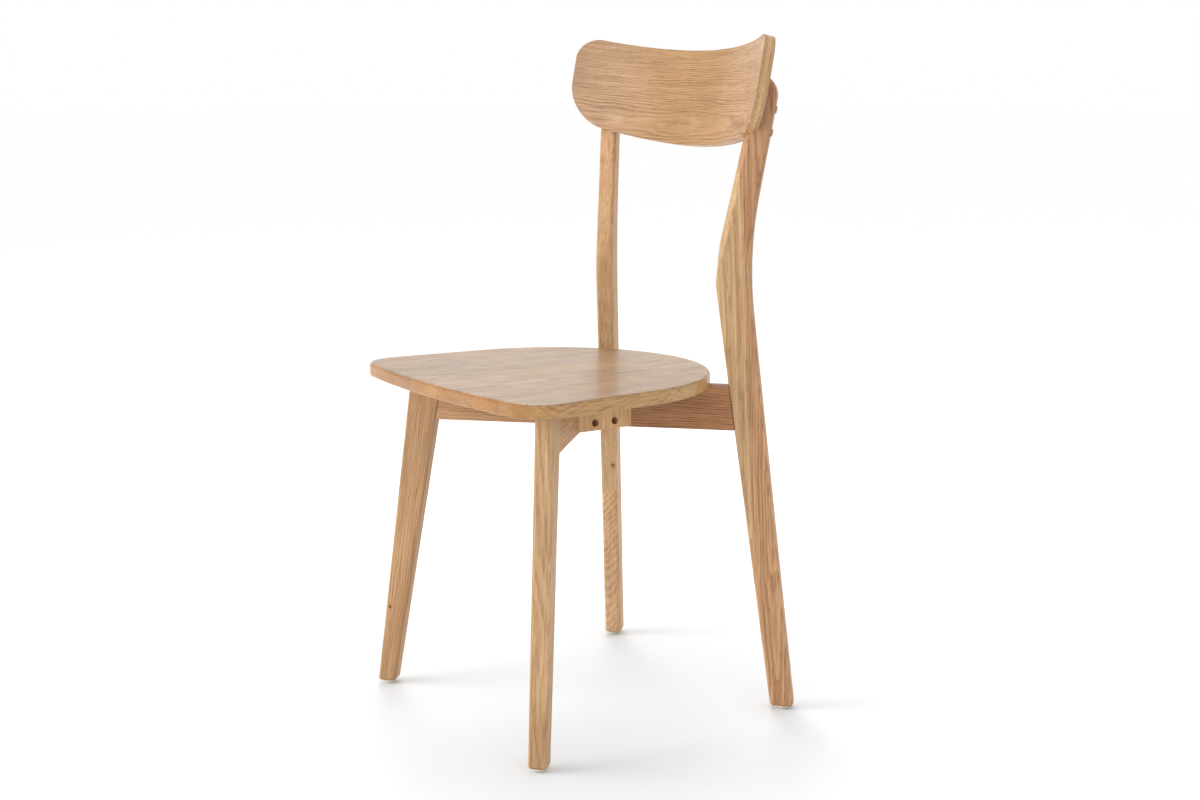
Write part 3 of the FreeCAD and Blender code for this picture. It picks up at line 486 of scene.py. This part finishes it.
VENEER_LOOK = {
    "ring_width": 0.0034, "figure": 0.40, "taper": 0.012, "rings": 0.76, "pores": 0.62,
    "tint": 0.83, "warm": -0.03, "rosy": 0.02,
}
VENEER_FINENESS = (1.5, 1.5, 1.15)     # its grain is finer than the boards' by this much
VENEER_OFFSET = 0.01                   # the painted sheen is faintest, and the colour warmest, this far left of the middle
VENEER_SHEEN_FADE = (0.04, 0.15)             # distances along the arc at which the painted sheen starts and ends
# Painted reflection on the curved veneer: its colour in the middle, and paler, greyer at both ends.
VENEER_MIDDLE = (1.00, 0.97, 0.88)
VENEER_PAINTED_SHEEN = (1.10, 1.14, 1.34)
CORE_LOOK = {"pith": 0.2, "figure": 0.2, "taper": 0.01, "pores": 0.28, "rings": 0.4}


def sheet_space(tree, shift, across=False):
    """Position unrolled onto the backrest's cylinder: z along the grain, x across it, y through the sheet."""
    position = tree.vector("SUBTRACT", tree.position(), tuple(AXIS_POINT))
    side, depth, height = [
        tree.vector("DOT_PRODUCT", position, tuple(axis)) for axis in (BACK_SIDE, BACK_DEPTH, BACK_AXIS)
    ]
    arc = tree.times(tree.math("ARCTAN2", side, depth), BACK_RADIUS)
    radius = tree.vector("LENGTH", tree.combine(side, depth, 0.0))
    through = tree.math("SUBTRACT", radius, BACK_RADIUS)
    unrolled = tree.combine(arc, through, height) if across else tree.combine(height, through, arc)
    return tree.vector("ADD", unrolled, shift)


def veneer(name, shift, **look):
    """A face veneer, with a painted sheen that makes it paler and greyer towards both ends of the sheet."""
    tree = Tree(name)
    place = sheet_space(tree, (0, 0, 0))
    fine = tree.vector("MULTIPLY", tree.vector("ADD", place, shift), VENEER_FINENESS)
    colour, open_pores, height = oak_colour(tree, fine, **look)
    # painted reflection, paler towards both ends of the arc
    away = tree.math("ABSOLUTE", tree.plus(tree.separate(place)[2], VENEER_OFFSET))
    painted_sheen = tree.mix(tree.smooth(away, *VENEER_SHEEN_FADE), VENEER_MIDDLE, VENEER_PAINTED_SHEEN)
    colour = tree.mix(1.0, colour, painted_sheen, "MULTIPLY")
    return lacquered(tree, colour, open_pores, height, gloss=0.45, coat=0.12)


def core(name, shift, across, **look):
    """A core ply, whose grain runs up the sheet if it lies across."""
    tree = Tree(name)
    place = sheet_space(tree, shift, across)
    return lacquered(tree, *oak_colour(tree, place, **look), gloss=0.5, coat=0.1)


dress("backrest_front_veneer", veneer(
    "oak_front_veneer", (0.055, 0.0, 0.3), pith=0.055, **VENEER_LOOK))
dress("backrest_back_veneer", veneer(
    "oak_back_veneer", (0.05, 0.01, 1.3), pith=0.060, **VENEER_LOOK))
dress("backrest_core_front", core(
    "core_front", (0.5, 0.0, 0.0), True, tint=1.10, warm=0.04, rosy=0.02, **CORE_LOOK))
dress("backrest_core_middle", core(
    "core_middle", (0.9, 0.0, 0.0), False, tint=1.24, warm=-0.04, **CORE_LOOK))
dress("backrest_core_back", core(
    "core_back", (1.4, 0.0, 0.0), True, tint=0.98, warm=0.02, rosy=0.03, **CORE_LOOK))

# ---------------------------------------------------------------- plugs, screws, glides


STEEL_DARK, STEEL_WORN = (0.10, 0.09, 0.08), (0.22, 0.20, 0.17)
PLASTIC_CLEAN, PLASTIC_SCUFFED = (0.66, 0.60, 0.50), (0.42, 0.37, 0.30)
SCUFF_HEIGHT = 0.0022


def steel():
    """Browned steel with fine scratches."""
    tree = Tree("browned_steel")
    scratch = tree.noise(tree.position(), 900.0, 3.0, 0.6)
    return tree.surface(
        tree.mix(scratch, STEEL_DARK, STEEL_WORN),
        tree.smooth(scratch, 0.3, 0.7, 0.28, 0.45), scratch, bump=0.1, depth=0.0001, Metallic=1.0,
    )


def plastic():
    """Whitish hard plastic, scuffed where it meets the floor."""
    tree = Tree("glide_plastic")
    position = tree.position()
    speck = tree.noise(position, 700.0, 3.0, 0.6)
    scuff = tree.smooth(tree.separate(position)[2], 0.0, SCUFF_HEIGHT, 1.0, 0.0)
    scuff = tree.times(scuff, tree.smooth(speck, 0.45, 0.65))
    colour = tree.mix(scuff, PLASTIC_CLEAN, PLASTIC_SCUFFED)
    return tree.surface(
        colour, tree.smooth(speck, 0.3, 0.7, 0.34, 0.5), speck, bump=0.12, depth=0.0001,
        Subsurface_Weight=0.15, Subsurface_Radius=(0.004, 0.003, 0.002),
    )


STEEL = steel()
PLASTIC = plastic()
for node in ("corner_block_screws", "seat_screws", "backrest_screws", "glide_nails"):
    dress(node, STEEL)

HEAD_RADIUS = 0.0040
SHANK_RADIUS = 0.00225
SCREW_PROFILE = (                  # radius and depth below the head's top
    (0.0033, 0.0), (0.0038, 0.0002), (HEAD_RADIUS, 0.0007), (HEAD_RADIUS, 0.0030),
    (SHANK_RADIUS, 0.0030), (SHANK_RADIUS, 0.0330), (0.0002, 0.0360),
)
RECESS_LENGTH, RECESS_WIDTH, RECESS_DEPTH = 0.0021, 0.0006, 0.0018
RECESS_END_LENGTH, RECESS_END_WIDTH = RECESS_LENGTH * 0.6, RECESS_WIDTH * 0.8
SHARP_ANGLE = math.radians(35)


def circle(mesh, radius, depth, count=40):
    """A ring of vertices round the screw's axis, at a depth."""
    step = math.tau / count
    return [
        mesh.verts.new((radius * math.cos(i * step), radius * math.sin(i * step), -depth))
        for i in range(count)
    ]


def cross(mesh, length, width, depth):
    """The outline of a cross-shaped recess at a depth."""
    corners = []
    for turn in range(4):
        for x, y in ((width, width), (width, length), (-width, length)):
            for _ in range(turn):
                x, y = -y, x
            corners.append(mesh.verts.new((x, y, -depth)))
    return corners


def bridge(mesh, ring, other):
    """Joins two rings of as many vertices with a band of quads."""
    for i in range(len(ring)):
        mesh.faces.new((ring[i - 1], ring[i], other[i], other[i - 1]))


def cross_head_screw(name, place, axis):
    """A cross-recessed wood screw whose head's top is at place and whose head looks along axis."""
    mesh = bmesh.new()
    rings = [circle(mesh, radius, depth) for radius, depth in SCREW_PROFILE]
    for ring, other in zip(rings, rings[1:]):
        bridge(mesh, ring, other)
    mesh.faces.new(rings[-1])
    mouth = cross(mesh, RECESS_LENGTH, RECESS_WIDTH, 0.0)
    bottom = cross(mesh, RECESS_END_LENGTH, RECESS_END_WIDTH, RECESS_DEPTH)
    bridge(mesh, mouth, bottom)
    mesh.faces.new(bottom)
    rims = [edge for ring in (rings[0], mouth) for i in range(len(ring))
            for edge in ring[i].link_edges if edge.other_vert(ring[i]) is ring[i - 1]]
    bmesh.ops.triangle_fill(mesh, edges=rims, use_beauty=True)
    bmesh.ops.recalc_face_normals(mesh, faces=mesh.faces)
    turn = Vector(axis).to_track_quat("Z", "X")
    for vertex in mesh.verts:
        vertex.co = turn @ vertex.co + Vector(place)
    for face in mesh.faces:
        face.smooth = True
    data = bpy.data.meshes.new(name)
    mesh.to_mesh(data)
    mesh.free()
    data.set_sharp_from_angle(angle=SHARP_ANGLE)
    data.materials.append(STEEL)
    piece = bpy.data.objects.new(name, data)
    bpy.context.scene.collection.objects.link(piece)
    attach(piece, "root")
    return piece


def block_screws():
    """The four screws through the corner blocks, in the place of the plain CAD ones."""
    low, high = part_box("corner_block_screws")
    height = (low.z + high.z) / 2
    for side, x, way in (("left", low.x, -1), ("right", high.x, 1)):
        for end, y in (("front", low.y + HEAD_RADIUS), ("rear", high.y - HEAD_RADIUS)):
            screw = cross_head_screw(f"block_screw_{side}_{end}", (x, y, height), (way, 0, 0))
            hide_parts("corner_block_screws")


block_screws()
for arm in ARMS:
    dress(f"{arm}_glide", PLASTIC)
dress("post_button_plugs", oak(
    "oak_plugs", (0, 1, 0.1), (1, 0, 0.4), near((0, 0, 0), 0.1), pith=0.15, figure=0.1, taper=0.0,
))

# ---------------------------------------------------------------- camera, floor and light

CAMERA_PLACE = (1.8758, -1.2380, 0.8118)
CAMERA_AZIMUTH = math.radians(54.330)    # how far it stands round from the front
CAMERA_DOWN = math.radians(9.933)
CAMERA_ROLL = math.radians(0.258)
SENSOR_WIDTH, LENS = 36.0, 51.67         # millimetres
CAMERA_SHIFT = (-0.0356, -0.0057)
CLIP_NEAR, CLIP_FAR = 0.05, 200


def make_camera():
    data = bpy.data.cameras.new("camera")
    camera = bpy.data.objects.new("camera", data)
    bpy.context.scene.collection.objects.link(camera)
    level = math.cos(CAMERA_DOWN)
    forward = Vector((
        -math.sin(CAMERA_AZIMUTH) * level, math.cos(CAMERA_AZIMUTH) * level, -math.sin(CAMERA_DOWN),
    ))
    camera.location = CAMERA_PLACE
    camera.rotation_mode = "QUATERNION"
    camera.rotation_quaternion = forward.to_track_quat("-Z", "Y") @ Quaternion((0, 0, 1), CAMERA_ROLL)
    data.sensor_width, data.lens = SENSOR_WIDTH, LENS
    data.shift_x, data.shift_y = CAMERA_SHIFT
    data.clip_start, data.clip_end = CLIP_NEAR, CLIP_FAR
    bpy.context.scene.camera = camera


WHITE = (1.0, 1.0, 1.0)
FLOOR_PAINTED_SHADOW = (0.770, 0.795, 0.812)     # painted shadow: the floor is greyer under the chair than far away
FLOOR_SHADOW_FADE = (0.15, 0.95)                # distances from the middle at which the painted shadow starts and ends fading
FLOOR_REACH = 60.0


def make_stage():
    """A pale floor, far wider than the view, with a broad shadow painted grey under the chair."""
    mesh = bpy.data.meshes.new("floor")
    corners = [(FLOOR_REACH * x, FLOOR_REACH * y, 0) for x, y in ((-1, -1), (1, -1), (1, 1), (-1, 1))]
    mesh.from_pydata(corners, [], [(0, 1, 2, 3)])
    floor = bpy.data.objects.new("floor", mesh)
    bpy.context.scene.collection.objects.link(floor)
    tree = Tree("floor_painted_shadow")
    away = tree.vector("LENGTH", tree.position())
    # painted shadow under the chair, fading to white farther out
    shadowed_floor = tree.mix(tree.smooth(away, *FLOOR_SHADOW_FADE), FLOOR_PAINTED_SHADOW, WHITE)
    shadowed_floor = tree.mix(tree.times(tree.noise(tree.position(), 3.0), 0.01), shadowed_floor, FLOOR_PAINTED_SHADOW)
    mesh.materials.append(tree.surface(shadowed_floor, 0.7, Specular_IOR_Level=0.2))


def area(name, place, target, size, power, glossy=True):
    """A round softbox; a matt one lights surfaces without showing as a highlight."""
    data = bpy.data.lights.new(name, "AREA")
    data.shape = "DISK"
    data.size, data.energy = size, power
    light = bpy.data.objects.new(name, data)
    light.location = place
    light.rotation_mode = "QUATERNION"
    light.rotation_quaternion = (Vector(target) - Vector(place)).to_track_quat("-Z", "Y")
    light.visible_glossy = glossy
    bpy.context.scene.collection.objects.link(light)


def make_light():
    """An even white studio with two soft lamps."""
    world = bpy.data.worlds.new("studio")
    bpy.context.scene.world = world
    world.use_nodes = True
    background = world.node_tree.nodes["Background"]
    background.inputs["Color"].default_value = (*WHITE, 1)
    background.inputs["Strength"].default_value = 1.0
    area("key", (-1.6, -3.0, 1.3), (0, 0, 0.45), size=2.6, power=95, glossy=False)
    area("side", (-1.7, 0.9, 2.7), (0, 0.1, 0.7), size=1.2, power=25)
    bpy.context.scene.view_settings.view_transform = "Standard"


make_camera()
make_stage()
make_light()
